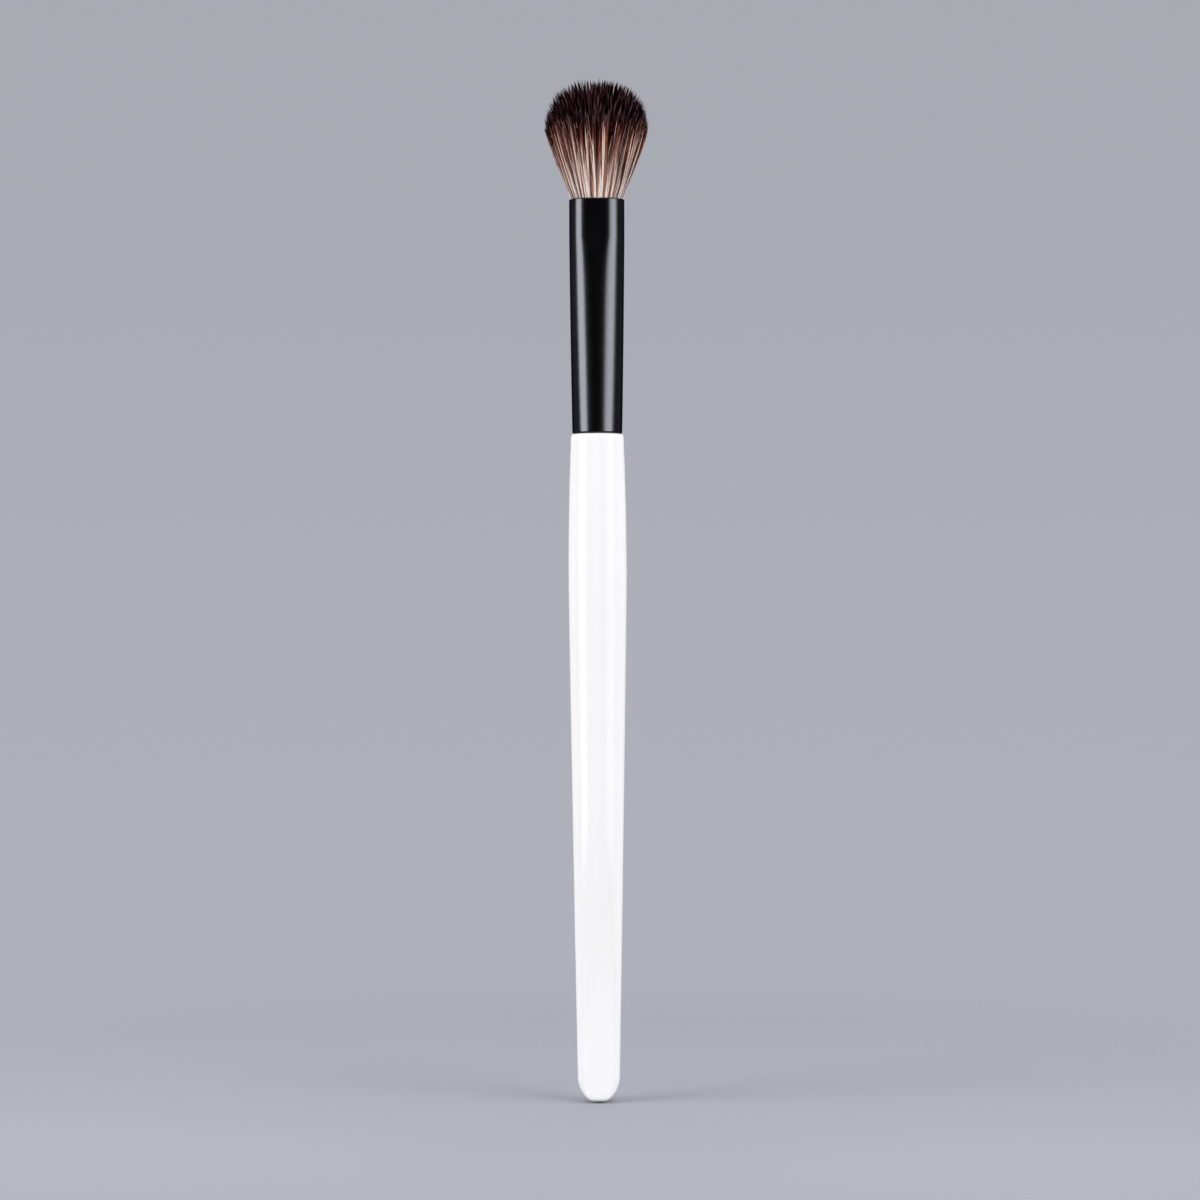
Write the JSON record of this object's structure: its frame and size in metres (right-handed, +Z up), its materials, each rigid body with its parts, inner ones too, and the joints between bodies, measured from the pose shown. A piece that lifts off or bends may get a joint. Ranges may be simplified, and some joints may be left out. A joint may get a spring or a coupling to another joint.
{
  "type": "makeup brush",
  "caption": "Slim makeup brush: turned lacquered handle with a flat rounded tail, tubular ferrule pressed oval at the mouth, and a flared domed hair tuft.",
  "frame": {"origin": "middle of the foot of the tail, on the brush's long axis", "axes": "+Z up the handle to the hair, X across the wide way of the tail, mouth and hair, -Y is the front"},
  "size_m": [0.0176, 0.012, 0.17],
  "materials": {
    "white_lacquer": "turned wood under white gloss lacquer",
    "black_aluminium": "black gloss over drawn aluminium tube",
    "hair": "two-tone hair, cream at the root and dark brown at the tips",
    "thread": "plain cotton thread",
    "resin": "set epoxy resin"
  },
  "bodies": {
    "root": {"handle": "white_lacquer", "ferrule": "black_aluminium", "hair_tuft": "hair", "binding_thread": "thread", "root_glue_plug": "resin", "tenon_glue_lower_ring": "resin", "tenon_glue_upper_ring": "resin"}
  },
  "joints": []
}
